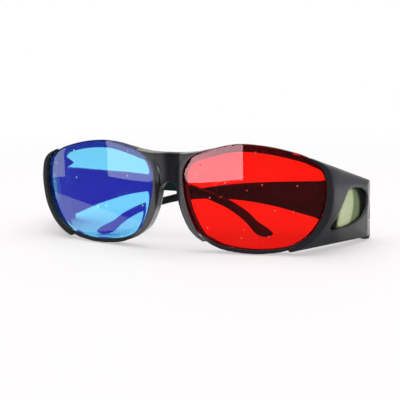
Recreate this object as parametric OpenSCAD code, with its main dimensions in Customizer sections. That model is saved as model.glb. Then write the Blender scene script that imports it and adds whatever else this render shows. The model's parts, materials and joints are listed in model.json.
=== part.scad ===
// Fit-over red and cyan 3D glasses, stored as they stand on a table with both temples folded.
// X runs to the wearer's left, Y towards the wearer, Z up. All sizes are in millimetres.

/* [Lenses] */
// Width of one lens, seen from the front
lens_w = 62; // [58:0.5:64]
// Height of one lens, seen from the front
lens_h = 48.4; // [44:0.1:53]
// Thickness of the lens sheet
lens_t = 1.8; // [1.2:0.1:2.4]
// Gap between the nasal edges of the two lenses
lens_gap = 14.4; // [13.6:0.2:18]
// Radius of the wrap that both lenses share
wrap_r = 200; // [190:5:400]
// Gap between a lens edge and its seat
lens_fit = 0.12; // [0.05:0.01:0.3]

/* [Front frame] */
// Rim width beside the nose
rim_nose = 3.3; // [2.6:0.1:3.8]
// Rim width at the temple corner
rim_temple = 2.2; // [1.8:0.1:3]
// Rim width below the lens, where the lens edge lies open
rim_open = 0.4; // [0.2:0.05:0.8]
// Drop of the ledge under the lens edge at the brow, where that edge lies open
brow_drop = 0.9; // [0:0.1:1.4]
// Height of the lip that stands proud of the lens face
lip_proud = 2; // [0.8:0.1:2.4]
// Thickness of the ledge behind the lens
ledge_t = 1.8; // [1.4:0.1:3]
// Width of the ledge that carries the lens
ledge_w = 1.2; // [1:0.1:2]
// Width of that ledge at the top of the brow
brow_ledge = 3.6; // [3.2:0.1:4.4]
// Thickness of the flange round each eye
flange_t = 2.0; // [1.4:0.1:2.6]
// Depth of that flange behind the lens face
flange_depth = 5; // [4.5:0.5:7]
// Depth of the nose flanges and bridge behind the lens face
nose_depth = 5; // [4.5:0.5:8]
// Height of the bridge's top edge
bridge_top = 44.5; // [42:0.5:47]
// Height of the nose arch's crown
nose_crown = 31.2; // [27:0.2:35]
// Depth of the scoop in the front of the bridge
bridge_scoop = 1.8; // [0.6:0.1:2.2]

/* [Side shields] */
// Width of the part across the outside of the hinges
hinge_span = 164; // [160:0.5:168]
// Distance from the lens face to the hinge axis
hinge_depth = 49.5; // [46:0.5:56]
// Wall of the side shields
shield_wall = 2.4; // [2:0.1:3]
// Height of the shield's top at the hinge
shield_top = 28.8; // [27.8:0.1:30.8]
// Height of the shield's lower edge at the hinge
shield_bottom = 2; // [1:0.25:4]
// Length of the side window, front to back
window_l = 29.5; // [24:0.5:30.5]
// Height of the side window
window_h = 17; // [13:0.5:18]
// Distance from the lens face to the window's front corner
window_y = 14.5; // [14:0.5:18]
// Height of the window's lower edge
window_z = 10.6; // [9:0.2:12]
// Thickness of the window pane
pane_t = 1.1; // [0.8:0.1:1.4]

/* [Hinges] */
// Outer radius of the hinge knuckles
knuckle_r = 2.6; // [2.2:0.1:3.2]
// Height of the lower knuckle
lower_knuckle_h = 8.8; // [6:0.2:9.4]
// Height of the temple's own knuckle
temple_knuckle_h = 10.6; // [8:0.2:11.4]
// Clearance above and below the temple's knuckle
knuckle_gap = 0.3; // [0.2:0.05:0.5]
// Radius of the steel hinge pin
pin_r = 0.8; // [0.6:0.05:1.1]
// Running clearance of the pin in its bores
pin_fit = 0.04; // [0.02:0.01:0.08]
// Cover of plastic left above the pin's end
pin_cover = 1; // [0.6:0.1:2]

/* [Temples] */
// Length of a temple from the hinge axis to its tip
temple_l = 130; // [128:0.5:130.5]
// Thickness of a temple at the hinge
temple_root_t = 4; // [3.4:0.1:4.6]
// Thickness of a temple past its middle
temple_t = 2.6; // [2.2:0.1:2.8]
// Inward bow of the temple at its tip
temple_bow = 0.4; // [0:0.1:0.6]
// Height of a temple's tip over its hinge's foot, before the lean
tip_z = 3.3; // [3.2:0.1:4]
// Angle of the front temple past square, folded against the lenses
front_fold = 17.6; // [17.4:0.1:17.8]
// Angle of the rear temple past square, folded behind the other
rear_fold = 13.8; // [13.6:0.1:14]
// Lean of the front temple's hinge, which lifts that temple over the other
front_lean = 1.4; // [1.35:0.05:1.6]
// Lean of the rear temple's hinge, which lowers that temple under the other
rear_lean = 1.5; // [1.45:0.05:1.6]

/* [Hidden] */
$fn = 64;

hinge_x = hinge_span / 2 - knuckle_r;
hinge_top = shield_top - 0.8;
// Lower knuckle's foot, raised by what its lean brings down
foot = knuckle_r * sin(max(front_lean, rear_lean));
slot_z0 = lower_knuckle_h;
slot_z1 = lower_knuckle_h + temple_knuckle_h + 2 * knuckle_gap;
lens_x0 = lens_gap / 2;
lens_z0 = 0.6;
shield_x = lens_x0 + lens_w * 0.74;
roof_x = lens_x0 + lens_w * 0.42;
// The part's middle, front to back, lies on the origin
y_shift = (lip_proud - hinge_depth - knuckle_r) / 2;
far = 400;
wide = 300;
steps = 4;

// Lens outline of the wearer's left eye: shares of lens_w and lens_h from its nasal lower corner,
// anticlockwise from the nose, with the kind of rim beside each point
outline = [
    [0.00, 0.68], [0.015, 0.50], [0.048, 0.345], [0.095, 0.215], [0.155, 0.115], [0.27, 0.037],
    [0.43, 0.003], [0.59, 0.003], [0.755, 0.045], [0.885, 0.165], [0.965, 0.33], [1.00, 0.515],
    [0.995, 0.68], [0.965, 0.79], [0.89, 0.866], [0.785, 0.923], [0.59, 0.982], [0.39, 1.00],
    [0.21, 0.952], [0.08, 0.885], [0.016, 0.785]
];
// Share of the way from an open edge to a full rim, at each of those points
rim_share = [1, 1.05, 1, 0.8, 0.25, 0.02, 0, 0, 0.12, 0.57, 0.93, 1, 1, 0.82, 0.46, 0.14, 0, 0.1, 0.22, 0.5, 0.85];
first_open_low = 4;
last_open_low = 8;
first_open_top = 15;
last_open_top = 17;
shoulder_point = 18;

function at(list, i) = list[(i + len(list)) % len(list)];
function catmull(a, b, c, d, t) =
    0.5 * (2 * b + (c - a) * t + (2 * a - 5 * b + 4 * c - d) * t * t + (3 * b - a - 3 * c + d) * t * t * t);
function closed_spline(list) =
    [for (i = [0:len(list) - 1], k = [0:steps - 1])
        catmull(at(list, i - 1), at(list, i), at(list, i + 1), at(list, i + 2), k / steps)];
function open_spline(list) = let (n = len(list)) concat(
    [for (i = [0:n - 2], k = [0:steps - 1])
        catmull(list[max(i - 1, 0)], list[i], list[i + 1], list[min(i + 2, n - 1)], k / steps)],
    [list[n - 1]]);
function unit(v) = v / norm(v);
function outward(list, i) = let (d = unit(at(list, i + 1) - at(list, i - 1))) [d[1], -d[0]];
function reversed(list) = [for (i = [len(list) - 1:-1:0]) list[i]];
function wrap_depth(x) = wrap_r - sqrt(wrap_r * wrap_r - x * x);

lens_points = [for (p = closed_spline(outline)) [lens_x0 + p[0] * lens_w, lens_z0 + p[1] * lens_h]];
rim_shares = closed_spline(rim_share);
lens_middle_x = lens_x0 + lens_w / 2;

function rim_width(i) = let (full = lens_points[i][0] < lens_middle_x ? rim_nose : rim_temple,
                             open = lens_points[i][1] > lens_h / 2 ? -brow_drop : rim_open)
    open + (full - open) * max(0, rim_shares[i]);
// Lens outline moved out by a fixed distance, or by the rim's width less an inset
function lens_offset(d) = [for (i = [0:len(lens_points) - 1]) lens_points[i] + d * outward(lens_points, i)];
function ledge_at(i) = ledge_w + (brow_ledge - ledge_w) * pow(max(0, outward(lens_points, i)[1]), 2);
function eye_opening() =
    [for (i = [0:len(lens_points) - 1]) lens_points[i] - ledge_at(i) * outward(lens_points, i)];
function rim_offset(inset) =
    [for (i = [0:len(lens_points) - 1]) lens_points[i] + (rim_width(i) - inset) * outward(lens_points, i)];

// Places a piece of the front, whose lens face starts at Y = 0, in the part's frame
module placed() {
    translate([0, y_shift, 0]) children();
}

// A front outline made into a bar that runs through the whole depth
module through(points) {
    rotate([90, 0, 0]) translate([0, 0, -far / 2]) linear_extrude(height = far) polygon(points);
}

// Wrapped shell between two depths behind the lens face
module wrapped(front, back) {
    translate([0, wrap_r, -1]) difference() {
        cylinder(r = wrap_r - front, h = lens_h + 20, $fn = 256);
        translate([0, 0, -1]) cylinder(r = wrap_r - back, h = lens_h + 22, $fn = 256);
        translate([-wide, -wrap_r + hinge_depth, -1]) cube([2 * wide, 3 * wrap_r, lens_h + 22]);
    }
}

// Lenses: sheets of the wrap, one per eye
module lens() {
    placed() intersection() {
        wrapped(0, lens_t);
        through(lens_points);
    }
}

module red_lens() {
    color([0.85, 0.02, 0.03, 0.6]) lens();
}

module blue_lens() {
    color([0.1, 0.35, 0.95, 0.6]) mirror([1, 0, 0]) lens();
}

// Front of one eye: the lip and ledge round the lens, then the flange behind them
module eye_ring() {
    intersection() {
        wrapped(-lip_proud, lens_t + ledge_t);
        through(rim_offset(0));
    }
    intersection() {
        union() {
            wrapped(lens_t, flange_depth);
            intersection() {
                wrapped(lens_t, nose_depth);
                translate([-wide + lens_x0 + lens_w * 0.14, -far / 2, -1]) cube([wide, far, far]);
            }
        }
        difference() {
            through(rim_offset(0));
            through(rim_offset(flange_t));
        }
    }
}

// Saddle between the eyes, with the nose arch below it and a soft rise to each rim
module bridge() {
    arch_r = lens_gap / 2 - rim_nose + 0.4;
    shoulder = rim_offset(0)[shoulder_point * steps];
    rise = (shoulder[1] - bridge_top) * 0.4;
    scoop_r = 15;
    half = open_spline([[0, bridge_top], [lens_x0 * 0.92, bridge_top + 0.1 * rise],
                        [(lens_x0 + shoulder[0]) / 2, bridge_top + rise], shoulder]);
    difference() {
        intersection() {
            wrapped(-lip_proud, nose_depth);
            through(concat(half, [[shoulder[0], nose_crown - arch_r], [0, nose_crown - arch_r]]));
        }
        translate([0, far / 2, nose_crown - arch_r]) rotate([90, 0, 0]) cylinder(r = arch_r, h = far);
        translate([0, bridge_scoop - lip_proud - scoop_r, -1]) cylinder(r = scoop_r, h = far);
        through(lens_offset(lens_fit));
    }
}

// Where the lip is left out, so that the lens edge lies open
module open_edges() {
    low = lens_points[first_open_low * steps][0];
    low_end = lens_points[last_open_low * steps][0];
    top = lens_points[first_open_top * steps][0];
    top_end = lens_points[last_open_top * steps][0];
    reach = 8;
    intersection() {
        wrapped(-lip_proud - 1, lens_t + lens_fit / 2);
        union() {
            translate([low, -far / 2, -1]) cube([low_end - low, far, reach]);
            translate([top_end, -far / 2, lens_z0 + lens_h - reach]) cube([top - top_end, far, 2 * reach]);
        }
    }
}

// Solid taper from the temple corner of the rim to the hinge, drawn in by inset on every side.
// Its front slice follows the wrap, and ahead and behind lengthen its two ends.
module shield_body(inset, ahead, behind, inner_x, from_x) {
    corner_x = lens_x0 + lens_w * 0.9;
    slope = asin(corner_x / wrap_r);
    outer_x = hinge_span / 2 - inset;
    end_y = hinge_depth - knuckle_r * 0.3;
    round_r = 2.5;
    hull() {
        translate([corner_x, wrap_depth(corner_x), 0]) rotate([0, 0, slope])
            translate([-corner_x, 0.5, 0]) rotate([90, 0, 0])
            linear_extrude(height = 0.5 + ahead) intersection() {
                polygon(rim_offset(inset));
                translate([from_x - 1, -10]) square([wide, wide]);
            }
        for (y = [end_y - 4, end_y - round_r + behind])
            translate([inner_x, y, shield_top - round_r])
                rotate([0, 90, 0]) cylinder(r = round_r - inset * 0.6, h = outer_x - inner_x, $fn = 24);
        translate([inner_x, end_y - 4, shield_bottom + inset]) cube([outer_x - inner_x, 4 + behind, 1]);
    }
}

// Window outline on the shield, seen from the side: [front to back, height]
window_shape = [[0, 0.1], [0.07, 0], [0.35, 0], [0.62, 0.06], [0.86, 0.2], [1, 0.5],
                [0.93, 0.76], [0.76, 0.93], [0.54, 1], [0.36, 0.97], [0.25, 0.74], [0.1, 0.38]];
window_points = [for (p = closed_spline(window_shape)) [window_y + p[0] * window_l, window_z + p[1] * window_h]];

// Window outline, moved out by d, as a bar through the shield
module window_bar(d) {
    points = [for (i = [0:len(window_points) - 1]) window_points[i] + d * outward(window_points, i)];
    translate([lens_x0 + lens_w * 0.8, 0, 0]) rotate([90, 0, 90])
        linear_extrude(height = lens_w) polygon(points);
}

// Side shield of the wearer's left: the taper behind the lip's face, hollow behind the ledge
module shield() {
    difference() {
        intersection() {
            union() {
                intersection() {
                    shield_body(0, 3, 0, hinge_span / 2 - shield_wall, shield_x);
                    translate([shield_x, -far / 2, -1]) cube([wide, far, far]);
                }
                // Roof that runs from the middle of the brow back to the hinge
                intersection() {
                    shield_body(0, 3, 0, hinge_span / 2 - shield_wall, roof_x);
                    translate([roof_x, -far / 2, shield_top - 4]) cube([wide, far, far]);
                }
            }
            translate([0, wrap_r, -1]) cylinder(r = wrap_r + lip_proud, h = far, $fn = 256);
        }
        intersection() {
            shield_body(shield_wall, 3, 3, lens_x0 + lens_w * 0.6, roof_x);
            translate([0, wrap_r, -1]) cylinder(r = wrap_r - lens_t - ledge_t, h = far, $fn = 256);
        }
        window_bar(0);
    }
}

module window_pane() {
    placed() intersection() {
        window_bar(-lens_fit);
        difference() {
            shield_body(shield_wall - pane_t, 3, 3, lens_x0 + lens_w * 0.6, roof_x);
            shield_body(shield_wall, 3, 3, lens_x0 + lens_w * 0.6, roof_x);
        }
    }
}

module left_window() {
    color([0.55, 0.65, 0.4, 0.7]) window_pane();
}

module right_window() {
    color([0.55, 0.65, 0.4, 0.7]) mirror([1, 0, 0]) window_pane();
}

// Puts a piece drawn on the Z axis on the wearer's left hinge, leaning about its middle height
module on_hinge(lean) {
    translate([hinge_x, hinge_depth, hinge_top / 2]) rotate([0, lean, 0]) translate([0, 0, -hinge_top / 2])
        children();
}

// Frame knuckles above and below the temple's knuckle
module frame_knuckles() {
    difference() {
        translate([0, 0, foot]) cylinder(r = knuckle_r, h = hinge_top - foot);
        translate([0, 0, slot_z0]) cylinder(r = knuckle_r + 1, h = slot_z1 - slot_z0);
    }
}

// Half of the frame on the wearer's left, with its hinge leaning
module frame_half(lean) {
    difference() {
        union() {
            intersection() {
                eye_ring();
                translate([-wide, -far / 2, -1]) cube([wide + shield_x + 0.5, far, far]);
            }
            shield();
            on_hinge(lean) frame_knuckles();
            bridge();
        }
        open_edges();
        // Seat of the lens, then the eye opening inside its ledge
        intersection() {
            wrapped(-lip_proud - 1, lens_t + lens_fit / 2);
            through(lens_offset(lens_fit));
        }
        through(eye_opening());
        // Room for the temple's knuckle, and the pin's bore
        on_hinge(lean) translate([0, 0, slot_z0]) cylinder(r = knuckle_r + knuckle_gap, h = slot_z1 - slot_z0);
        on_hinge(lean) translate([0, 0, -1]) cylinder(r = pin_r + pin_fit, h = hinge_top + 1 - pin_cover);
    }
}

module front_frame() {
    color([0.06, 0.06, 0.07]) placed() {
        frame_half(-rear_lean);
        mirror([1, 0, 0]) frame_half(front_lean);
    }
}

// Temple seen from the side: [distance from the hinge axis, height of its middle, half its height]
root_y = knuckle_r + 0.4;
root_low = 2.5;
root_mid = (hinge_top + root_low) / 2;
temple_line = [
    [root_y, root_mid, hinge_top - root_mid], [0.093, 17.1, 10.9], [0.162, 18.8, 9.1], [0.24, 20.4, 7.5],
    [0.317, 21.9, 6], [0.394, 22.9, 4.8], [0.463, 23.4, 3.9], [0.548, 23.3, 3], [0.633, 22.3, 2.2],
    [0.695, 20.9, 1.85], [0.757, 19, 1.8], [0.819, 16.6, 1.9], [0.865, 13.9, 2.1], [0.903, 10.9, 2.4],
    [0.934, tip_z + 4.2, 2.7], [0.965, tip_z + 2.6, 2.4], [0.988, tip_z + 2, 1.4], [1, tip_z + 1.8, 0.3]
];
temple_points = open_spline([for (i = [0:len(temple_line) - 1]) let (p = temple_line[i])
    [i == 0 ? p[0] : p[0] * temple_l, p[1], p[2]]]);
temple_side = concat([for (p = temple_points) [p[0], p[1] - p[2]]],
                     reversed([for (p = temple_points) [p[0], p[1] + p[2]]]));

// Temple seen from above, open: outer face and inner face at each distance from the hinge
function bow_at(s) = temple_bow * pow(max(0, s - 0.45) / 0.55, 3);
function temple_t_at(s) = temple_t + (temple_root_t - temple_t) * pow(max(0, 1 - s / 0.55), 2);
plan_shares = [0:0.05:1];
temple_plan = concat([for (s = plan_shares) [knuckle_r - bow_at(s), s * temple_l]],
                     reversed([for (s = plan_shares) [knuckle_r - bow_at(s) - temple_t_at(s), s * temple_l]]));

// Temple of the wearer's left, open, with its hinge axis at the origin
module open_temple() {
    knuckle_z = slot_z0 + knuckle_gap;
    difference() {
        union() {
            intersection() {
                translate([-wide / 2, 0, 0]) rotate([90, 0, 90]) linear_extrude(height = wide) polygon(temple_side);
                linear_extrude(height = far) polygon(temple_plan);
            }
            translate([0, 0, knuckle_z]) cylinder(r = knuckle_r, h = temple_knuckle_h);
            translate([knuckle_r - temple_root_t, 0, knuckle_z])
                cube([temple_root_t, root_y + 1, temple_knuckle_h]);
        }
        translate([0, 0, -1]) cylinder(r = pin_r + pin_fit, h = far);
    }
}

module left_temple() {
    color([0.05, 0.05, 0.06]) placed() on_hinge(-rear_lean) rotate([0, 0, 90 + rear_fold]) open_temple();
}

module right_temple() {
    color([0.05, 0.05, 0.06]) placed() mirror([1, 0, 0]) on_hinge(front_lean)
        rotate([0, 0, 90 + front_fold]) open_temple();
}

// Steel pins, pushed up from below
module hinge_pin() {
    pin_low = 0.4;
    translate([0, 0, pin_low]) cylinder(r = pin_r, h = hinge_top - 1.2 * pin_cover - pin_low);
}

module left_hinge_pin() {
    color([0.6, 0.6, 0.62]) placed() on_hinge(-rear_lean) hinge_pin();
}

module right_hinge_pin() {
    color([0.6, 0.6, 0.62]) placed() mirror([1, 0, 0]) on_hinge(front_lean) hinge_pin();
}

front_frame();
red_lens();
blue_lens();
left_window();
right_window();
left_temple();
right_temple();
left_hinge_pin();
right_hinge_pin();
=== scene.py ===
import bpy, bmesh, json, math
from mathutils import Matrix, Vector

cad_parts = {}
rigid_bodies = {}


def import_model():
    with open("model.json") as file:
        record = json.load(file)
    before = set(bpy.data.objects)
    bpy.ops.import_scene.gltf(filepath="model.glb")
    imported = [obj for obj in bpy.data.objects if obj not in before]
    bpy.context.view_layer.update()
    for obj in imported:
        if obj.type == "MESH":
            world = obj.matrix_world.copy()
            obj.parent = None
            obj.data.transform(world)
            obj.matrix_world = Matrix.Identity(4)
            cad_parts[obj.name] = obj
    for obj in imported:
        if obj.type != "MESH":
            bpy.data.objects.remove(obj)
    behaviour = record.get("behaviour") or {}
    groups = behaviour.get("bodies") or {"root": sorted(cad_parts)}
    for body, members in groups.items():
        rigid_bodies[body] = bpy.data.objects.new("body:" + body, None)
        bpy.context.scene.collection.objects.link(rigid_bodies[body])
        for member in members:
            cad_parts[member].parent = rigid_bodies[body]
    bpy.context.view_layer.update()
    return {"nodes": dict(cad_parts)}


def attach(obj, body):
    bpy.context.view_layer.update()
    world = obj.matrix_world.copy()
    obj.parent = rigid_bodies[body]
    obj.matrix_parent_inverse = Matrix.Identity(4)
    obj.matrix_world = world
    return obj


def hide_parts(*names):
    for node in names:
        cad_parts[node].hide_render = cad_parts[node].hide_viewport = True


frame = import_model()
scene = bpy.context.scene
mm = 0.001
frontY = -25.05 * mm  # lens face, at the middle of the wrap
weldGap = 0.002 * mm  # CAD corners closer than this are one
smoothFactor = 0.5  # how far each smoothing pass moves a point


# Node helpers
def nodeAt(tree, kind, **settings):
    node = tree.nodes.new(kind)
    for key, value in settings.items():
        setattr(node, key, value)
    return node


def plug(tree, socket, value):
    if isinstance(value, bpy.types.NodeSocket):
        tree.links.new(value, socket)
    else:
        socket.default_value = value


def maths(tree, operation, a, b=None, clamp=False):
    node = nodeAt(tree, "ShaderNodeMath", operation=operation, use_clamp=clamp)
    plug(tree, node.inputs[0], a)
    if b is not None:
        plug(tree, node.inputs[1], b)
    return node.outputs[0]


def blendColour(tree, share, a, b):
    node = nodeAt(tree, "ShaderNodeMix", data_type="RGBA")
    plug(tree, node.inputs[0], share)
    plug(tree, node.inputs[6], a)
    plug(tree, node.inputs[7], b)
    return node.outputs[2]


def blendValue(tree, share, a, b):
    node = nodeAt(tree, "ShaderNodeMix", data_type="FLOAT")
    plug(tree, node.inputs[0], share)
    plug(tree, node.inputs[2], a)
    plug(tree, node.inputs[3], b)
    return node.outputs[0]


def noiseOf(tree, where, scale, detail=3.0):
    node = nodeAt(tree, "ShaderNodeTexNoise")
    plug(tree, node.inputs["Vector"], where)
    plug(tree, node.inputs["Scale"], scale)
    node.inputs["Detail"].default_value = detail
    return node.outputs[0]


def rampOf(tree, value, low, high):
    node = nodeAt(tree, "ShaderNodeMapRange", clamp=True, interpolation_type="SMOOTHSTEP")
    plug(tree, node.inputs[0], value)
    plug(tree, node.inputs[1], low)
    plug(tree, node.inputs[2], high)
    return node.outputs[0]


def newGroup(name, inputs, outputs):
    tree = bpy.data.node_groups.new(name, "ShaderNodeTree")
    for label, kind, start in inputs:
        socket = tree.interface.new_socket(label, in_out="INPUT", socket_type=kind)
        if start is not None:
            socket.default_value = start
    for label, kind in outputs:
        tree.interface.new_socket(label, in_out="OUTPUT", socket_type=kind)
    return tree, nodeAt(tree, "NodeGroupInput"), nodeAt(tree, "NodeGroupOutput")


# Settings of the finishes that the pieces share; each pair is where a ramp starts and is full
finishes = {
    "cloudDetail": 4.0, "cloudTone": (0.3, 0.7), "grainDetail": 2.0, "rubBreaks": (0.35, 0.65),
    "hairTurn": 55, "hairStretch": 0.03, "hairScale": 3200.0, "hairDetail": 1.0, "hairs": (0.66, 0.70),
    "patchScale": 70.0, "patchDetail": 2.0, "patches": (0.6, 0.68),
    "smearScale": 40.0, "smears": (0.4, 0.75),
}


# Fine grain of a spark-eroded mould, with broad cloudy tone over it
def makeMouldGrain():
    tree, ins, outs = newGroup("mouldGrain",
        [("Vector", "NodeSocketVector", None), ("Grain Scale", "NodeSocketFloat", 4500.0),
         ("Cloud Scale", "NodeSocketFloat", 60.0)],
        [("Tone", "NodeSocketFloat"), ("Height", "NodeSocketFloat")])
    where = ins.outputs["Vector"]
    cloud = noiseOf(tree, where, ins.outputs["Cloud Scale"], finishes["cloudDetail"])
    grain = noiseOf(tree, where, ins.outputs["Grain Scale"], finishes["grainDetail"])
    plug(tree, outs.inputs["Tone"], rampOf(tree, cloud, *finishes["cloudTone"]))
    plug(tree, outs.inputs["Height"], grain)
    return tree


# Rubbed edges, broken up so that no edge is worn evenly
def makeEdgeRub():
    tree, ins, outs = newGroup("edgeRub",
        [("Vector", "NodeSocketVector", None), ("Break Scale", "NodeSocketFloat", 300.0),
         ("Start", "NodeSocketFloat", 0.53), ("End", "NodeSocketFloat", 0.62)],
        [("Mask", "NodeSocketFloat")])
    sharp = nodeAt(tree, "ShaderNodeNewGeometry").outputs["Pointiness"]
    edge = rampOf(tree, sharp, ins.outputs["Start"], ins.outputs["End"])
    breaks = noiseOf(tree, ins.outputs["Vector"], ins.outputs["Break Scale"])
    patchy = rampOf(tree, breaks, *finishes["rubBreaks"])
    plug(tree, outs.inputs["Mask"], maths(tree, "MULTIPLY", edge, patchy))
    return tree


# Specks of dust and short hairlines on a polished sheet
def makeSheetDust():
    tree, ins, outs = newGroup("sheetDust",
        [("Vector", "NodeSocketVector", None), ("Speck Scale", "NodeSocketFloat", 140.0),
         ("Speck Size", "NodeSocketFloat", 0.05), ("Share", "NodeSocketFloat", 0.9)],
        [("Specks", "NodeSocketFloat"), ("Hairlines", "NodeSocketFloat"), ("Smear", "NodeSocketFloat")])
    where = ins.outputs["Vector"]
    cells = nodeAt(tree, "ShaderNodeTexVoronoi", feature="F1")
    plug(tree, cells.inputs["Vector"], where)
    plug(tree, cells.inputs["Scale"], ins.outputs["Speck Scale"])
    near = maths(tree, "LESS_THAN", cells.outputs["Distance"], ins.outputs["Speck Size"])
    split = nodeAt(tree, "ShaderNodeSeparateColor")
    plug(tree, split.inputs[0], cells.outputs["Color"])
    chosen = maths(tree, "GREATER_THAN", split.outputs[0], ins.outputs["Share"])
    plug(tree, outs.inputs["Specks"], maths(tree, "MULTIPLY", near, chosen))
    # hairlines: stretched noise, kept only in a few patches
    turn = nodeAt(tree, "ShaderNodeMapping")
    plug(tree, turn.inputs["Vector"], where)
    turn.inputs["Rotation"].default_value = (0.0, math.radians(finishes["hairTurn"]), 0.0)
    turn.inputs["Scale"].default_value = (1.0, 1.0, finishes["hairStretch"])
    strands = noiseOf(tree, turn.outputs[0], finishes["hairScale"], finishes["hairDetail"])
    lines = rampOf(tree, strands, *finishes["hairs"])
    patch = rampOf(tree, noiseOf(tree, where, finishes["patchScale"], finishes["patchDetail"]), *finishes["patches"])
    plug(tree, outs.inputs["Hairlines"], maths(tree, "MULTIPLY", lines, patch))
    smear = noiseOf(tree, where, finishes["smearScale"])
    plug(tree, outs.inputs["Smear"], rampOf(tree, smear, *finishes["smears"]))
    return tree


mouldGrain, edgeRub, sheetDust = makeMouldGrain(), makeEdgeRub(), makeSheetDust()
print("shared finishes: mouldGrain, edgeRub, sheetDust")


def newMaterial(name):
    material = bpy.data.materials.new(name)
    material.use_nodes = True
    tree = material.node_tree
    shader = tree.nodes["Principled BSDF"]
    where = nodeAt(tree, "ShaderNodeTexCoord").outputs["Object"]
    return material, tree, shader, where


def placeGroup(tree, group, where, **values):
    node = nodeAt(tree, "ShaderNodeGroup", node_tree=group)
    plug(tree, node.inputs["Vector"], where)
    for key, value in values.items():
        node.inputs[key].default_value = value
    return node.outputs


def separated(tree, where):
    node = nodeAt(tree, "ShaderNodeSeparateXYZ")
    plug(tree, node.inputs[0], where)
    return node.outputs


def grainBump(tree, shader, height, look):
    bump = nodeAt(tree, "ShaderNodeBump")
    bump.inputs["Strength"].default_value = look["grain"]
    bump.inputs["Distance"].default_value = look["grainDepth"]
    plug(tree, bump.inputs["Height"], height)
    plug(tree, shader.inputs["Normal"], bump.outputs[0])


# How polished the front is: dull on the bridge panel apart from a painted highlight, a polish gradient on its left
# side that stands in for a reflection, bright on the lips beside it, half bright on the shields
def polishMask(tree, where, look):
    x, y, z = separated(tree, where)
    across = maths(tree, "ABSOLUTE", x)
    polish = blendValue(tree, rampOf(tree, across, *look["lips"]), look["lipPolish"], look["browPolish"])
    polish = blendValue(tree, rampOf(tree, across, *look["shields"]), polish, look["shieldPolish"])
    beside = maths(tree, "MAXIMUM", rampOf(tree, across, *look["panel"]), rampOf(tree, y, *look["panelBack"]))
    # painted highlight: extra polish on the left side of the panel stands in for the reflection it would catch
    paintedHighlight = rampOf(tree, maths(tree, "MULTIPLY", x, -1.0), *look["paintedHighlight"])
    paintedHighlight = maths(tree, "MULTIPLY", paintedHighlight, rampOf(tree, z, *look["paintedHighlightFoot"]))
    beside = maths(tree, "MAXIMUM", beside, maths(tree, "MULTIPLY", paintedHighlight, look["paintedHighlightShare"]))
    return blendValue(tree, beside, look["panelPolish"], polish)


# Satin black plastic of the frame and temples
def mouldedPlastic(name, look):
    material, tree, shader, where = newMaterial(name)
    grain = placeGroup(tree, mouldGrain, where, **{"Grain Scale": look["grainScale"]})
    rub = placeGroup(tree, edgeRub, where)["Mask"]
    tone = blendColour(tree, grain["Tone"], look["dark"], look["light"])
    worn = maths(tree, "MULTIPLY", rub, look["rub"])
    plug(tree, shader.inputs["Base Color"], blendColour(tree, worn, tone, look["worn"]))
    rough = blendValue(tree, grain["Tone"], *look["rough"])
    plug(tree, shader.inputs["Roughness"], blendValue(tree, rub, rough, look["rubbedRough"]))
    grainBump(tree, shader, grain["Height"], look)
    shader.inputs["Specular IOR Level"].default_value = look["shine"]
    if "panel" in look:
        plug(tree, shader.inputs["Coat Weight"], polishMask(tree, where, look))
        shader.inputs["Coat Roughness"].default_value = look["coatRough"]
        shader.inputs["Coat IOR"].default_value = look["coatIor"]
    return material


# 0 inside an upright oval on a side wall, 1 outside it; the panes take their painted shade from it
def outsideOval(tree, where, oval):
    place = separated(tree, where)
    apart = 0.0
    for axis, (middle, half) in zip((1, 2), oval["at"]):
        share = maths(tree, "DIVIDE", maths(tree, "SUBTRACT", place[axis], middle), half)
        apart = maths(tree, "ADD", apart, maths(tree, "MULTIPLY", share, share))
    return rampOf(tree, apart, *oval["edge"])


# Tinted clear sheet; lamps pass through it and leave a tinted shadow
def tintedSheet(name, look):
    material, tree, shader, where = newMaterial(name)
    dust = placeGroup(tree, sheetDust, where, **{
        "Speck Scale": look["speckScale"], "Speck Size": look["speckSize"], "Share": look["speckShare"]})
    tint = blendColour(tree, dust["Smear"], look["tint"], look["tintSmeared"])
    rough = blendValue(tree, dust["Smear"], *look["rough"])
    # painted shade: outside each oval the pane's tint is darkened to stand for the shade of its recess
    for oval in look.get("shadeOvals", ()):
        outside = outsideOval(tree, where, oval)
        tint = blendColour(tree, outside, tint, oval["colour"])
        rough = blendValue(tree, outside, rough, oval["rough"])
    hairs = maths(tree, "MULTIPLY", dust["Hairlines"], look["hairlines"])
    marks = maths(tree, "MAXIMUM", dust["Specks"], hairs)
    plug(tree, shader.inputs["Base Color"], blendColour(tree, marks, tint, look["dustColour"]))
    plug(tree, shader.inputs["Roughness"], blendValue(tree, marks, rough, look["dustRough"]))
    shader.inputs["Transmission Weight"].default_value = look["clear"]
    shader.inputs["IOR"].default_value = look["ior"]
    shader.inputs["Specular Tint"].default_value = look["mirrorTint"]
    clear = nodeAt(tree, "ShaderNodeBsdfTransparent")
    clear.inputs[0].default_value = look["shadowTint"]
    lamps = nodeAt(tree, "ShaderNodeLightPath")
    mix = nodeAt(tree, "ShaderNodeMixShader")
    plug(tree, mix.inputs[0], lamps.outputs["Is Shadow Ray"])
    plug(tree, mix.inputs[1], shader.outputs[0])
    plug(tree, mix.inputs[2], clear.outputs[0])
    plug(tree, tree.nodes["Material Output"].inputs["Surface"], mix.outputs[0])
    return material


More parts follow.
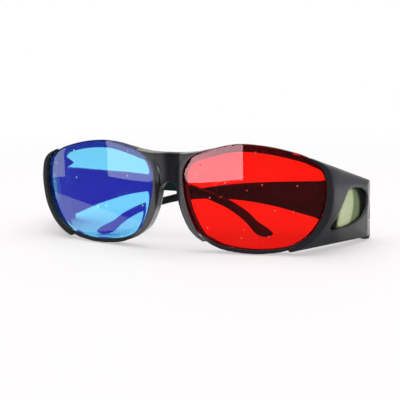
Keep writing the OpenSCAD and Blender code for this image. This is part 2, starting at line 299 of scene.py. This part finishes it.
# Moulded copy of a CAD solid: corners eased the way the tool leaves them
def easedCopy(node, name, look, softer=None, addTo=None):
    piece = bpy.data.objects.new(name, frame["nodes"][node].data.copy())
    scene.collection.objects.link(piece)
    shell = bmesh.new()
    shell.from_mesh(piece.data)
    bmesh.ops.remove_doubles(shell, verts=shell.verts, dist=weldGap)
    if addTo:
        addTo(shell)
    shell.to_mesh(piece.data)
    shell.free()
    remesh = piece.modifiers.new("shell", "REMESH")
    remesh.mode = "VOXEL"
    remesh.voxel_size = look["voxel"]
    plainMesh(piece)
    # broad faces settle more than the lips round the lenses
    group = piece.vertex_groups.new(name="settle")
    for v in piece.data.vertices:
        share = softer(v.co, v.normal) if softer else 1.0
        if share > 0:
            group.add([v.index], share, "REPLACE")
    for label, times, held in (("ease", look["ease"], ""), ("settle", look["settle"], "settle")):
        if times:
            smooth = piece.modifiers.new(label, "SMOOTH")
            smooth.factor = smoothFactor
            smooth.iterations = times
            smooth.vertex_group = held
    plainMesh(piece)
    piece.vertex_groups.clear()
    piece.data.shade_smooth()
    return piece


# Evaluates the modifiers once and keeps the result as a plain mesh
def plainMesh(piece):
    bpy.context.view_layer.update()
    graph = bpy.context.evaluated_depsgraph_get()
    made = bpy.data.meshes.new_from_object(piece.evaluated_get(graph), depsgraph=graph)
    made.name = piece.name
    piece.modifiers.clear()
    piece.data = made


def dress(piece, material, body, node):
    piece.data.materials.clear()
    piece.data.materials.append(material)
    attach(piece, body)
    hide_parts(node)


# Outline that the lenses and the lips round them follow
lensShape = {
    "wide": 62 * mm, "high": 48.4 * mm, "thick": 1.8 * mm, "gap": 14.4 * mm, "low": 0.6 * mm,
    "wrap": 200 * mm, "edge": 0.35 * mm, "around": 260, "rings": 12, "edgeRings": 4,
    "steps": 8, "middle": (0.5, 0.52), "weld": 0.001 * mm,
    "outline": [(0.00, 0.68), (0.015, 0.50), (0.048, 0.345), (0.095, 0.215), (0.155, 0.115), (0.27, 0.037),
                (0.43, 0.003), (0.59, 0.003), (0.755, 0.045), (0.885, 0.165), (0.965, 0.33), (1.00, 0.515),
                (0.995, 0.68), (0.965, 0.79), (0.89, 0.866), (0.785, 0.923), (0.59, 0.982), (0.39, 1.00),
                (0.21, 0.952), (0.08, 0.885), (0.016, 0.785)],
}


def roundedOutline(shares, steps):
    points, count = [], len(shares)
    for i in range(count):
        a, b, c, d = (shares[(i + k) % count] for k in (-1, 0, 1, 2))
        for k in range(steps):
            t = k / steps
            points.append(tuple(
                0.5 * (2 * b[n] + (c[n] - a[n]) * t + (2 * a[n] - 5 * b[n] + 4 * c[n] - d[n]) * t * t
                       + (3 * b[n] - a[n] - 3 * c[n] + d[n]) * t ** 3) for n in (0, 1)))
    return points


# Front frame
frontFrame = {
    "voxel": 0.45 * mm, "ease": 3, "settle": 22,
    "dark": (0.003, 0.0028, 0.0062, 1), "light": (0.006, 0.0057, 0.0108, 1), "worn": (0.035, 0.035, 0.042, 1),
    "rub": 0.35, "rough": (0.26, 0.36), "rubbedRough": 0.208, "shine": 0.17,
    "grain": 0.2, "grainScale": 4500.0, "grainDepth": 0.02 * mm,
    # polish, with where each kind of it starts and is full
    "coatRough": 0.16, "coatIor": 1.8,
    "panelPolish": 0.0, "panel": (5.4 * mm, 6.8 * mm), "panelBack": (frontY + 3 * mm, frontY + 5 * mm),
    # painted highlight: polish rising on the panel's left side stands in for a reflection
    "paintedHighlightShare": 0.75, "paintedHighlight": (0.0, 4.2 * mm), "paintedHighlightFoot": (29.5 * mm, 33.5 * mm),
    "lipPolish": 1.0, "browPolish": 0.08, "lips": (14 * mm, 22 * mm),
    "shieldPolish": 0.42, "shields": (71 * mm, 74 * mm),
    # lower lips: how high up the lens they go, points over which they run out, section as (reach, proud)
    "lipTop": 0.2, "lipRunOut": 16,
    "lip": [(-0.35 * mm, -0.9 * mm), (-0.35 * mm, 0.7 * mm), (0.0, 1.0 * mm),
            (1.2 * mm, 1.0 * mm), (1.6 * mm, 0.6 * mm), (1.6 * mm, -0.9 * mm)],
    # where the shields' walls and the roof's edges settle
    "wallAcross": (65 * mm, 69 * mm), "wallBack": (12 * mm, 17 * mm), "wallRear": (45 * mm, 42 * mm),
    "wallFacing": (0.6, 0.85),
    "roofAcross": (40 * mm, 45 * mm), "roofEnd": (71 * mm, 67 * mm), "roofBehind": (3.5 * mm, 5.0 * mm),
    "roofHeight": (28 * mm, 31 * mm), "roofShare": 0.7,
}


# Share of the way from start to end, held between 0 and 1
def partWay(value, start, end):
    return min(1.0, max(0.0, (value - start) / (end - start)))


# What settles most: the shields' broad outer walls, and the thin inner edge of the roof over each brow
def settlesHere(point, normal):
    look, wrap = frontFrame, lensShape["wrap"]
    across, back = abs(point.x), point.y - frontY
    wall = partWay(across, *look["wallAcross"]) * partWay(back, *look["wallBack"]) * partWay(back, *look["wallRear"])
    wall *= partWay(normal.x * math.copysign(1, point.x), *look["wallFacing"])
    behindLens = back - wrap + math.sqrt(wrap ** 2 - across ** 2)
    roof = partWay(across, *look["roofAcross"]) * partWay(across, *look["roofEnd"])
    roof *= partWay(behindLens, *look["roofBehind"]) * partWay(point.z, *look["roofHeight"])
    return max(wall, look["roofShare"] * roof)


# Thin lips under the lenses, between the ends of the deep ones
def addLowerLips(shell):
    shape = lensShape
    shares = roundedOutline(shape["outline"], shape["steps"])
    path = [p for p in shares if p[1] < frontFrame["lipTop"]]
    start = max(range(len(path)), key=lambda i: abs(path[i][0] - path[i - 1][0]))
    path = path[start:] + path[:start]
    last = len(path) - 1
    for side in (1, -1):
        rings = []
        for i, (x, z) in enumerate(path):
            before, after = path[max(i - 1, 0)], path[min(i + 1, last)]
            along = Vector(((after[0] - before[0]) * shape["wide"], (after[1] - before[1]) * shape["high"])).normalized()
            inward = Vector((-along.y, along.x)) * (1 if along.x > 0 else -1)
            share = min(1.0, min(i, last - i) / frontFrame["lipRunOut"]) ** 0.5
            ring = []
            for reach, proud in frontFrame["lip"]:
                reach *= share if reach > 0 else 1.0
                px = shape["gap"] / 2 + x * shape["wide"] + inward.x * reach
                pz = shape["low"] + z * shape["high"] + inward.y * reach
                radius = shape["wrap"] + proud
                py = frontY + shape["wrap"] - math.sqrt(radius * radius - px * px)
                ring.append(shell.verts.new((side * px, py, pz)))
            rings.append(ring)
        faces = [shell.faces.new(rings[0]), shell.faces.new(list(reversed(rings[-1])))]
        for a, b in zip(rings, rings[1:]):
            for k in range(len(a)):
                faces.append(shell.faces.new((a[k], b[k], b[k - 1], a[k - 1])))
        bmesh.ops.recalc_face_normals(shell, faces=faces)


frameBlack = mouldedPlastic("frameBlack", frontFrame)
frontMoulding = easedCopy("front_frame", "frontMoulding", frontFrame, settlesHere, addLowerLips)
dress(frontMoulding, frameBlack, "frame", "front_frame")
print("front moulding:", len(frontMoulding.data.polygons), "faces")

# Temples
temples = {
    "voxel": 0.4 * mm, "ease": 8, "settle": 0,
    "dark": (0.003, 0.003, 0.0045, 1), "light": (0.006, 0.006, 0.008, 1), "worn": (0.03, 0.03, 0.035, 1),
    "rub": 0.3, "rough": (0.26, 0.34), "rubbedRough": 0.208, "shine": 0.17,
    "grain": 0.2, "grainScale": 5200.0, "grainDepth": 0.02 * mm,
}
templeBlack = mouldedPlastic("templeBlack", temples)
for side in ("left", "right"):
    arm = easedCopy(side + "_temple", side + "TempleArm", temples)
    dress(arm, templeBlack, side + "_temple", side + "_temple")
    print(arm.name, len(arm.data.polygons), "faces")


# Lenses, from the outline above
def outlineCurve(name, side):
    curve = bpy.data.curves.new(name, "CURVE")
    curve.dimensions = "3D"
    points = roundedOutline(lensShape["outline"], lensShape["steps"])
    spline = curve.splines.new("POLY")
    spline.points.add(len(points) - 1)
    for p, (x, z) in zip(spline.points, points):
        p.co = (side * (lensShape["gap"] / 2 + x * lensShape["wide"]), 0, lensShape["low"] + z * lensShape["high"], 1)
    spline.use_cyclic_u = True
    guide = bpy.data.objects.new(name, curve)
    scene.collection.objects.link(guide)
    return guide


# Sheet drawn as rings from the middle of the front, over the polished edge, to the middle of the back
def makeLensSheet():
    tree = bpy.data.node_groups.new("lensSheet", "GeometryNodeTree")
    for label, kind in (("Outline", "NodeSocketObject"), ("Middle", "NodeSocketVector"), ("Wrap Radius", "NodeSocketFloat"),
                        ("Face", "NodeSocketFloat"), ("Thickness", "NodeSocketFloat"), ("Edge Round", "NodeSocketFloat"),
                        ("Around", "NodeSocketInt"), ("Rings", "NodeSocketInt"), ("Edge Rings", "NodeSocketInt"),
                        ("Finish", "NodeSocketMaterial")):
        tree.interface.new_socket(label, in_out="INPUT", socket_type=kind)
    tree.interface.new_socket("Geometry", in_out="OUTPUT", socket_type="NodeSocketGeometry")
    ins, outs = nodeAt(tree, "NodeGroupInput").outputs, nodeAt(tree, "NodeGroupOutput")
    rings, edgeRings, r = ins["Rings"], ins["Edge Rings"], ins["Edge Round"]
    rows = maths(tree, "ADD", maths(tree, "MULTIPLY", maths(tree, "ADD", rings, edgeRings), 2.0), 2.0)
    columns = maths(tree, "ADD", ins["Around"], 1.0)
    grid = nodeAt(tree, "GeometryNodeMeshGrid")
    plug(tree, grid.inputs["Vertices X"], columns)
    plug(tree, grid.inputs["Vertices Y"], rows)
    index = nodeAt(tree, "GeometryNodeInputIndex").outputs[0]
    column = maths(tree, "FLOOR", maths(tree, "DIVIDE", maths(tree, "ADD", index, 0.5), rows))
    row = maths(tree, "SUBTRACT", index, maths(tree, "MULTIPLY", column, rows))
    # shares of the way over the front, the front corner, the edge, the back corner and the back
    front = maths(tree, "DIVIDE", row, rings, True)
    past = maths(tree, "SUBTRACT", row, rings)
    quarter = math.pi / 2
    corner = maths(tree, "MULTIPLY", maths(tree, "DIVIDE", past, edgeRings, True), quarter)
    past = maths(tree, "SUBTRACT", past, edgeRings)
    edge = maths(tree, "ADD", past, 0.0, True)
    past = maths(tree, "SUBTRACT", past, 1.0)
    backCorner = maths(tree, "MULTIPLY", maths(tree, "DIVIDE", past, edgeRings, True), quarter)
    past = maths(tree, "SUBTRACT", past, edgeRings)
    back = maths(tree, "DIVIDE", past, rings, True)
    path = nodeAt(tree, "GeometryNodeObjectInfo", transform_space="RELATIVE")
    plug(tree, path.inputs["Object"], ins["Outline"])
    along = nodeAt(tree, "GeometryNodeSampleCurve", mode="FACTOR")
    plug(tree, along.inputs["Curves"], path.outputs["Geometry"])
    plug(tree, along.inputs["Factor"], maths(tree, "DIVIDE", column, ins["Around"]))
    reach = nodeAt(tree, "ShaderNodeVectorMath", operation="SUBTRACT")
    plug(tree, reach.inputs[0], along.outputs["Position"])
    plug(tree, reach.inputs[1], ins["Middle"])
    length = nodeAt(tree, "ShaderNodeVectorMath", operation="LENGTH")
    plug(tree, length.inputs[0], reach.outputs[0])
    full = maths(tree, "SUBTRACT", length.outputs["Value"], r)
    turn = maths(tree, "ADD", maths(tree, "SINE", corner), maths(tree, "COSINE", backCorner))
    turn = maths(tree, "SUBTRACT", turn, 1.0)
    over = maths(tree, "MULTIPLY", full, maths(tree, "SUBTRACT", front, back))
    out = maths(tree, "ADD", over, maths(tree, "MULTIPLY", r, turn))
    aim = nodeAt(tree, "ShaderNodeVectorMath", operation="NORMALIZE")
    plug(tree, aim.inputs[0], reach.outputs[0])
    step = nodeAt(tree, "ShaderNodeVectorMath", operation="SCALE")
    plug(tree, step.inputs[0], aim.outputs[0])
    plug(tree, step.inputs["Scale"], out)
    flat = nodeAt(tree, "ShaderNodeVectorMath", operation="ADD")
    plug(tree, flat.inputs[0], step.outputs[0])
    plug(tree, flat.inputs[1], ins["Middle"])
    place = nodeAt(tree, "ShaderNodeSeparateXYZ")
    plug(tree, place.inputs[0], flat.outputs[0])
    straight = maths(tree, "SUBTRACT", ins["Thickness"], maths(tree, "MULTIPLY", r, 2.0))
    turned = maths(tree, "SUBTRACT", 1.0, maths(tree, "COSINE", corner))
    turned = maths(tree, "ADD", turned, maths(tree, "SINE", backCorner))
    depth = maths(tree, "ADD", maths(tree, "MULTIPLY", straight, edge), maths(tree, "MULTIPLY", r, turned))
    radius = maths(tree, "SUBTRACT", ins["Wrap Radius"], depth)
    under = maths(tree, "SUBTRACT", maths(tree, "MULTIPLY", radius, radius),
                  maths(tree, "MULTIPLY", place.outputs[0], place.outputs[0]))
    y = maths(tree, "ADD", ins["Face"], maths(tree, "SUBTRACT", ins["Wrap Radius"], maths(tree, "SQRT", under)))
    spot = nodeAt(tree, "ShaderNodeCombineXYZ")
    plug(tree, spot.inputs[0], place.outputs[0])
    plug(tree, spot.inputs[1], y)
    plug(tree, spot.inputs[2], place.outputs[2])
    shaped = nodeAt(tree, "GeometryNodeSetPosition")
    plug(tree, shaped.inputs["Geometry"], grid.outputs["Mesh"])
    plug(tree, shaped.inputs["Position"], spot.outputs[0])
    closed = nodeAt(tree, "GeometryNodeMergeByDistance")
    plug(tree, closed.inputs["Geometry"], shaped.outputs[0])
    closed.inputs["Distance"].default_value = lensShape["weld"]
    smooth = nodeAt(tree, "GeometryNodeSetShadeSmooth")
    plug(tree, smooth.inputs["Geometry"], closed.outputs[0])
    real = nodeAt(tree, "GeometryNodeRealizeInstances")
    plug(tree, real.inputs[0], smooth.outputs[0])
    finish = nodeAt(tree, "GeometryNodeSetMaterial")
    plug(tree, finish.inputs["Geometry"], real.outputs[0])
    plug(tree, finish.inputs["Material"], ins["Finish"])
    plug(tree, outs.inputs[0], finish.outputs[0])
    return tree


lensSheet = makeLensSheet()


def lensPiece(name, side, material):
    guide = outlineCurve(name + "Guide", side)
    piece = bpy.data.objects.new(name, bpy.data.meshes.new(name))
    scene.collection.objects.link(piece)
    modifier = piece.modifiers.new("sheet", "NODES")
    modifier.node_group = lensSheet
    x, z = lensShape["middle"]
    middle = (side * (lensShape["gap"] / 2 + x * lensShape["wide"]), 0.0, lensShape["low"] + z * lensShape["high"])
    values = {"Outline": guide, "Middle": middle, "Wrap Radius": lensShape["wrap"], "Face": frontY,
              "Thickness": lensShape["thick"], "Edge Round": lensShape["edge"], "Around": lensShape["around"],
              "Rings": lensShape["rings"], "Edge Rings": lensShape["edgeRings"], "Finish": material}
    for item in lensSheet.interface.items_tree:
        if item.item_type == "SOCKET" and item.in_out == "INPUT":
            modifier[item.identifier] = values[item.name]
    plainMesh(piece)
    bpy.data.objects.remove(guide)
    sheet = bmesh.new()
    sheet.from_mesh(piece.data)
    bmesh.ops.recalc_face_normals(sheet, faces=sheet.faces)
    sheet.to_mesh(piece.data)
    sheet.free()
    return piece


redLook = {
    "tint": (1.0, 0.007, 0.002, 1), "tintSmeared": (0.97, 0.010, 0.004, 1),
    "mirrorTint": (0.20, 0.12, 0.135, 1), "shadowTint": (0.8, 0.62, 0.62, 1),
    "ior": 1.5, "rough": (0.0, 0.0), "clear": 1.0,
    "dustColour": (1.0, 0.85, 0.82, 1), "dustRough": 0.9,
    "speckScale": 150.0, "speckSize": 0.06, "speckShare": 0.05, "hairlines": 0.1,
}
blueLook = {
    "tint": (0.15, 0.63, 1.0, 1), "tintSmeared": (0.17, 0.64, 1.0, 1),
    "mirrorTint": (0.07, 0.052, 1.0, 1), "shadowTint": (0.62, 0.74, 0.88, 1),
    "ior": 3.0, "rough": (0.0, 0.0), "clear": 1.0,
    "dustColour": (0.8, 0.92, 1.0, 1), "dustRough": 0.9,
    "speckScale": 145.0, "speckSize": 0.06, "speckShare": 0.0, "hairlines": 0.12,
}
for name, node, slot, side, look in (("redLensSheet", "red_lens", "red_sheet", 1, redLook),
                                     ("blueLensSheet", "blue_lens", "blue_sheet", -1, blueLook)):
    tinted = tintedSheet(name + "Tint", look)
    sheetPiece = lensPiece(name, side, tinted)
    dress(sheetPiece, tinted, "frame", node)
    sheetPiece.visible_diffuse = False  # lamps already shine through it, so bounced light isn't counted twice
    print(name, len(sheetPiece.data.polygons), "faces")

# Side windows
windows = {
    "voxel": 0.22 * mm, "ease": 3, "settle": 0,
    "tint": (0.62, 0.72, 0.42, 1), "tintSmeared": (0.70, 0.78, 0.50, 1),
    # painted shade: outside the first oval the pane is a deeper green, standing for the recess's shade seen through
    # it; outside the second it is black, standing for the shadowed recess and frame round the window
    "shadeOvals": [
        {"at": ((-0.4 * mm, 7.3 * mm), (20.0 * mm, 10.4 * mm)), "edge": (0.8, 1.25),
         "colour": (0.17, 0.24, 0.09, 1), "rough": 0.25},
        {"at": ((3.8 * mm, 10.0 * mm), (17.0 * mm, 11.3 * mm)), "edge": (0.6, 1.1),
         "colour": (0.008, 0.009, 0.008, 1), "rough": 1.0},
    ],
    "mirrorTint": (0.4, 0.45, 0.36, 1), "shadowTint": (0.8, 0.9, 0.7, 1),
    "ior": 1.25, "rough": (0.18, 0.28), "clear": 0.45,
    "dustColour": (0.9, 0.92, 0.85, 1), "dustRough": 0.9,
    "speckScale": 200.0, "speckSize": 0.05, "speckShare": 0.9, "hairlines": 0.3,
}
paneGreen = tintedSheet("paneGreen", windows)
for side in ("left", "right"):
    pane = easedCopy(side + "_window", side + "WindowPane", windows)
    dress(pane, paneGreen, "frame", side + "_window")
    pane.visible_diffuse = False  # as for the lenses
    print(pane.name, len(pane.data.polygons), "faces")

# Hinge pins keep their CAD shape and get a drawn steel finish
pins = {
    "dark": (0.36, 0.36, 0.37, 1), "light": (0.55, 0.55, 0.56, 1), "rough": (0.25, 0.42),
    "grain": 0.2, "grainScale": 7000.0, "grainDepth": 0.01 * mm, "cloudScale": 900.0,
}


def drawnSteel(name, look):
    material, tree, shader, where = newMaterial(name)
    grain = placeGroup(tree, mouldGrain, where, **{"Grain Scale": look["grainScale"], "Cloud Scale": look["cloudScale"]})
    plug(tree, shader.inputs["Base Color"], blendColour(tree, grain["Tone"], look["dark"], look["light"]))
    plug(tree, shader.inputs["Roughness"], blendValue(tree, grain["Tone"], *look["rough"]))
    grainBump(tree, shader, grain["Height"], look)
    shader.inputs["Metallic"].default_value = 1.0
    return material


pinSteel = drawnSteel("pinSteel", pins)
for side in ("left", "right"):
    pin = frame["nodes"][side + "_hinge_pin"]
    pin.data.materials.clear()
    pin.data.materials.append(pinSteel)
print("hinge pins: drawn steel")

# Studio: pale table, white room, a broad light overhead, and cards that light one piece each
lavenderLamp = (0.74, 1.0, 0.052)  # the blue sheet mirrors this as lavender
studio = {
    "table": (0.875, 0.86, 0.865, 1), "tableCloud": (0.89, 0.875, 0.88, 1), "cloudScale": 6.0,
    "tableRough": 0.6, "tableShine": 0.2, "tableSize": 6.0, "tableDrop": 0.0001, "fade": (0.16, 0.55),
    "backdrop": (0.985, 0.955, 0.97, 1), "lift": 0.45, "room": 0.82, "mirrored": 0.62,
    "overhead": {"at": (0.0, 0.05, 0.95), "aim": (0.0, 0.0, 0.02), "size": (1.1, 0.7), "watts": 4.5},
    "cards": {
        "blueCard": {"at": (-0.070, -0.198, 0.060), "aim": (-0.016, -0.006, 0.060), "size": (0.23, 0.12),
                     "watts": 0.98, "colour": lavenderLamp, "only": "blueLensSheet"},
        "redCard": {"at": (-0.070, -0.198, 0.060), "aim": (-0.016, -0.006, 0.060), "size": (0.23, 0.12),
                    "watts": 3.9, "colour": (1.0, 1.0, 1.0), "only": "redLensSheet"},
        "sideCard": {"at": (-0.208, -0.056, 0.023), "aim": (-0.060, -0.015, 0.023), "size": (0.058, 0.034),
                     "watts": 0.043, "colour": lavenderLamp, "only": "blueLensSheet"},
        "lowCard": {"at": (-0.0562, -0.0359, 0.0009), "aim": (0.0231, 0.0250, 0.0009), "size": (0.07, 0.022),
                    "watts": 0.008, "colour": lavenderLamp, "only": "blueLensSheet", "turn": -17.9, "spread": 100},
        "rimCard": {"at": (0.318, -0.085, 0.12), "aim": (0.0, -0.02, 0.02), "size": (0.10, 0.30),
                    "watts": 0.32, "colour": (0.84, 0.90, 1.0), "only": "frontMoulding"},
    },
}


def lightPanel(name, look):
    lamp = bpy.data.lights.new(name, "AREA")
    lamp.shape = "RECTANGLE"
    lamp.size, lamp.size_y = look["size"]
    lamp.energy = look["watts"]
    lamp.spread = math.radians(look.get("spread", 180))
    panel = bpy.data.objects.new(name, lamp)
    scene.collection.objects.link(panel)
    at, aim = Vector(look["at"]), Vector(look["aim"])
    facing = (aim - at).to_track_quat("-Z", "Y").to_matrix().to_4x4()
    turn = Matrix.Rotation(math.radians(look.get("turn", 0)), 4, "Z")
    panel.matrix_world = Matrix.Translation(at) @ facing @ turn
    panel.visible_camera = False
    return panel


lightPanel("overheadPanel", studio["overhead"])
for name, look in studio["cards"].items():
    card = lightPanel(name, look)
    card.data.color = look["colour"]
    # a card is only mirrored: it neither brightens what is near it nor shows through a lens
    card.visible_diffuse = False
    card.visible_transmission = False
    mirrors = bpy.data.collections.new(name + "Mirrors")
    mirrors.objects.link(bpy.data.objects[look["only"]])
    card.light_linking.receiver_collection = mirrors


# Table paint: paler for the camera, which keeps the shadows light, and faded out far from the glasses
def paintTable(look):
    material, tree, shader, where = newMaterial("tablePaint")
    cloud = noiseOf(tree, where, look["cloudScale"])
    plug(tree, shader.inputs["Base Color"], blendColour(tree, cloud, look["table"], look["tableCloud"]))
    shader.inputs["Roughness"].default_value = look["tableRough"]
    shader.inputs["Specular IOR Level"].default_value = look["tableShine"]
    pale = nodeAt(tree, "ShaderNodeEmission")
    pale.inputs["Color"].default_value = look["backdrop"]
    rays = nodeAt(tree, "ShaderNodeLightPath")
    lifted = nodeAt(tree, "ShaderNodeMixShader")
    plug(tree, lifted.inputs[0], maths(tree, "MULTIPLY", rays.outputs["Is Camera Ray"], look["lift"]))
    plug(tree, lifted.inputs[1], shader.outputs[0])
    plug(tree, lifted.inputs[2], pale.outputs[0])
    reach = nodeAt(tree, "ShaderNodeVectorMath", operation="LENGTH")
    plug(tree, reach.inputs[0], where)
    fade = nodeAt(tree, "ShaderNodeMixShader")
    plug(tree, fade.inputs[0], rampOf(tree, reach.outputs["Value"], *look["fade"]))
    plug(tree, fade.inputs[1], lifted.outputs[0])
    plug(tree, fade.inputs[2], nodeAt(tree, "ShaderNodeBsdfTransparent").outputs[0])
    plug(tree, tree.nodes["Material Output"].inputs["Surface"], fade.outputs[0])
    return material


tableMesh = bpy.data.meshes.new("tableTop")
half = studio["tableSize"] / 2
tableMesh.from_pydata([(-half, -half, 0), (half, -half, 0), (half, half, 0), (-half, half, 0)], [], [(0, 1, 2, 3)])
tableTop = bpy.data.objects.new("tableTop", tableMesh)
scene.collection.objects.link(tableTop)
tableTop.location.z = -studio["tableDrop"]
tableTop.data.materials.append(paintTable(studio))


# White room, seen whole by the camera and through the sheets, dimmer in reflections
def whiteRoom(look):
    world = bpy.data.worlds.new("studioRoom")
    world.use_nodes = True
    tree = world.node_tree
    sky = tree.nodes["Background"]
    rays = nodeAt(tree, "ShaderNodeLightPath").outputs
    seen = maths(tree, "MAXIMUM", rays["Is Camera Ray"], rays["Is Transmission Ray"])
    lit = blendValue(tree, rays["Is Glossy Ray"], look["room"], look["mirrored"])
    sky.inputs["Color"].default_value = (1.0, 1.0, 1.0, 1)
    plug(tree, sky.inputs["Strength"], blendValue(tree, seen, lit, 1.0))
    return world


scene.world = whiteRoom(studio)
print("studio set")

# Camera, from the photograph's angle; "pixels" is its focal length in a picture "frame" pixels wide
view = {
    "azimuth": 21.0, "elevation": 10.65, "distance": 0.3775, "aim": (0.00725, -0.00505, 0.01991), "roll": 0.0133,
    "pixels": 800.9, "frame": 400, "sensor": 36.0, "near": 0.01,
}


def photoCamera(look):
    a, e, r = math.radians(look["azimuth"]), math.radians(look["elevation"]), look["roll"]
    aim = Vector(look["aim"])
    eye = aim + look["distance"] * Vector((math.sin(a) * math.cos(e), -math.cos(a) * math.cos(e), math.sin(e)))
    ahead = (aim - eye).normalized()
    across = Vector((math.cos(a), math.sin(a), 0))
    above = across.cross(ahead)
    acrossRolled = across * math.cos(r) - above * math.sin(r)
    aboveRolled = above * math.cos(r) + across * math.sin(r)
    optics = bpy.data.cameras.new("photoCamera")
    optics.sensor_width = look["sensor"]
    optics.lens = look["sensor"] * look["pixels"] / look["frame"]
    optics.clip_start = look["near"]
    camera = bpy.data.objects.new("photoCamera", optics)
    scene.collection.objects.link(camera)
    turn = Matrix((acrossRolled, aboveRolled, -ahead)).transposed().to_4x4()
    camera.matrix_world = Matrix.Translation(eye) @ turn
    return camera


scene.camera = photoCamera(view)
scene.view_settings.view_transform = "Standard"
